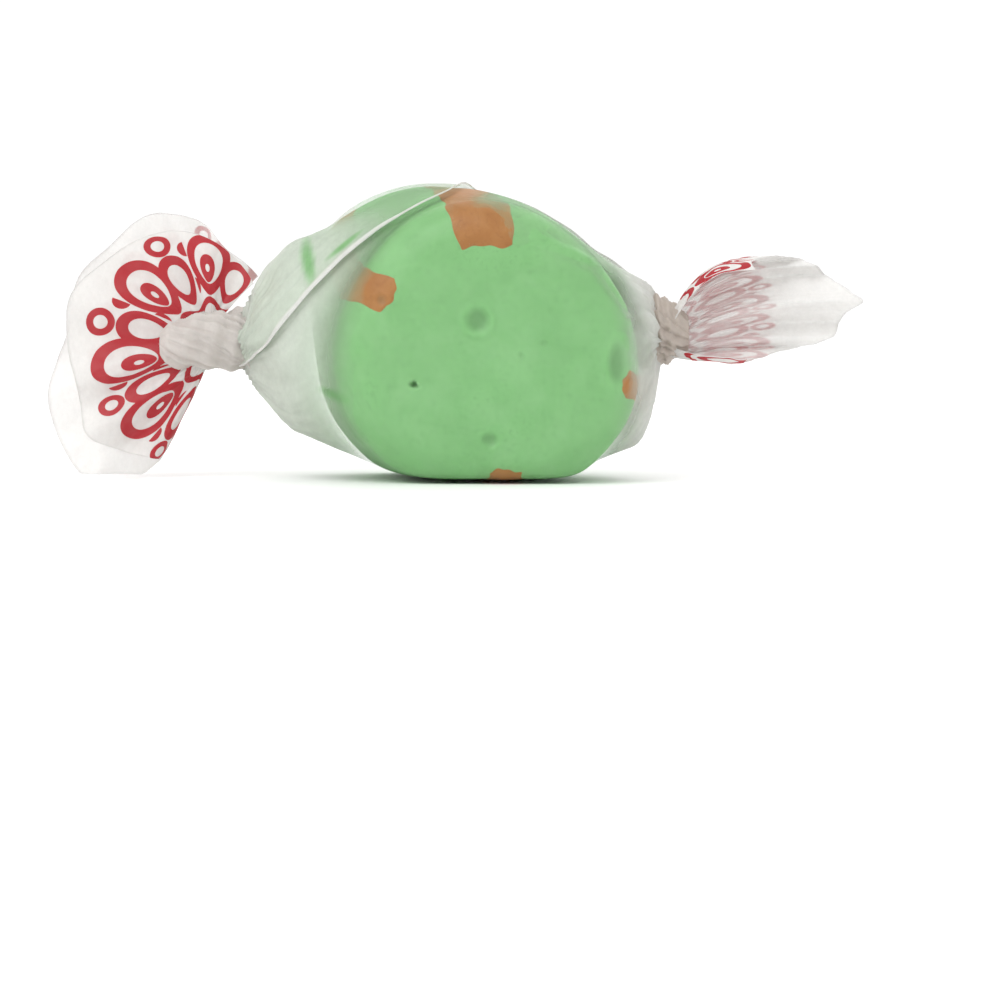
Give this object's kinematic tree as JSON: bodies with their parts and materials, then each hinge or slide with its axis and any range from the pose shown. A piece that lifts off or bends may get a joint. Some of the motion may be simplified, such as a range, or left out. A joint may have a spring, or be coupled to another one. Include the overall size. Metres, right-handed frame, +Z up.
{
  "type": "wrapped taffy candy",
  "caption": "Squat salt water taffy candy with inlaid stripes, rolled in a sheet of wax paper that is twisted shut at both ends into fanned tails.",
  "frame": {"origin": "on the floor, under the middle of the flat foot that the wrapped candy rests on", "axes": "+X along the twist axis towards the short leaf-shaped tail, -Y out of the cut face of the candy that shows, +Z up"},
  "size_m": [0.0706, 0.0241, 0.0267],
  "materials": {
    "green_taffy": "satin, faintly waxy soft candy",
    "brown_taffy": "satin, faintly waxy soft candy",
    "wax_paper": "translucent waxed paper, white, with a red print outside"
  },
  "bodies": {
    "root": {"green_taffy": "green_taffy", "brown_stripe_1": "brown_taffy", "brown_stripe_2": "brown_taffy", "brown_stripe_3": "brown_taffy", "brown_stripe_4": "brown_taffy", "wax_paper": "wax_paper"}
  },
  "joints": []
}
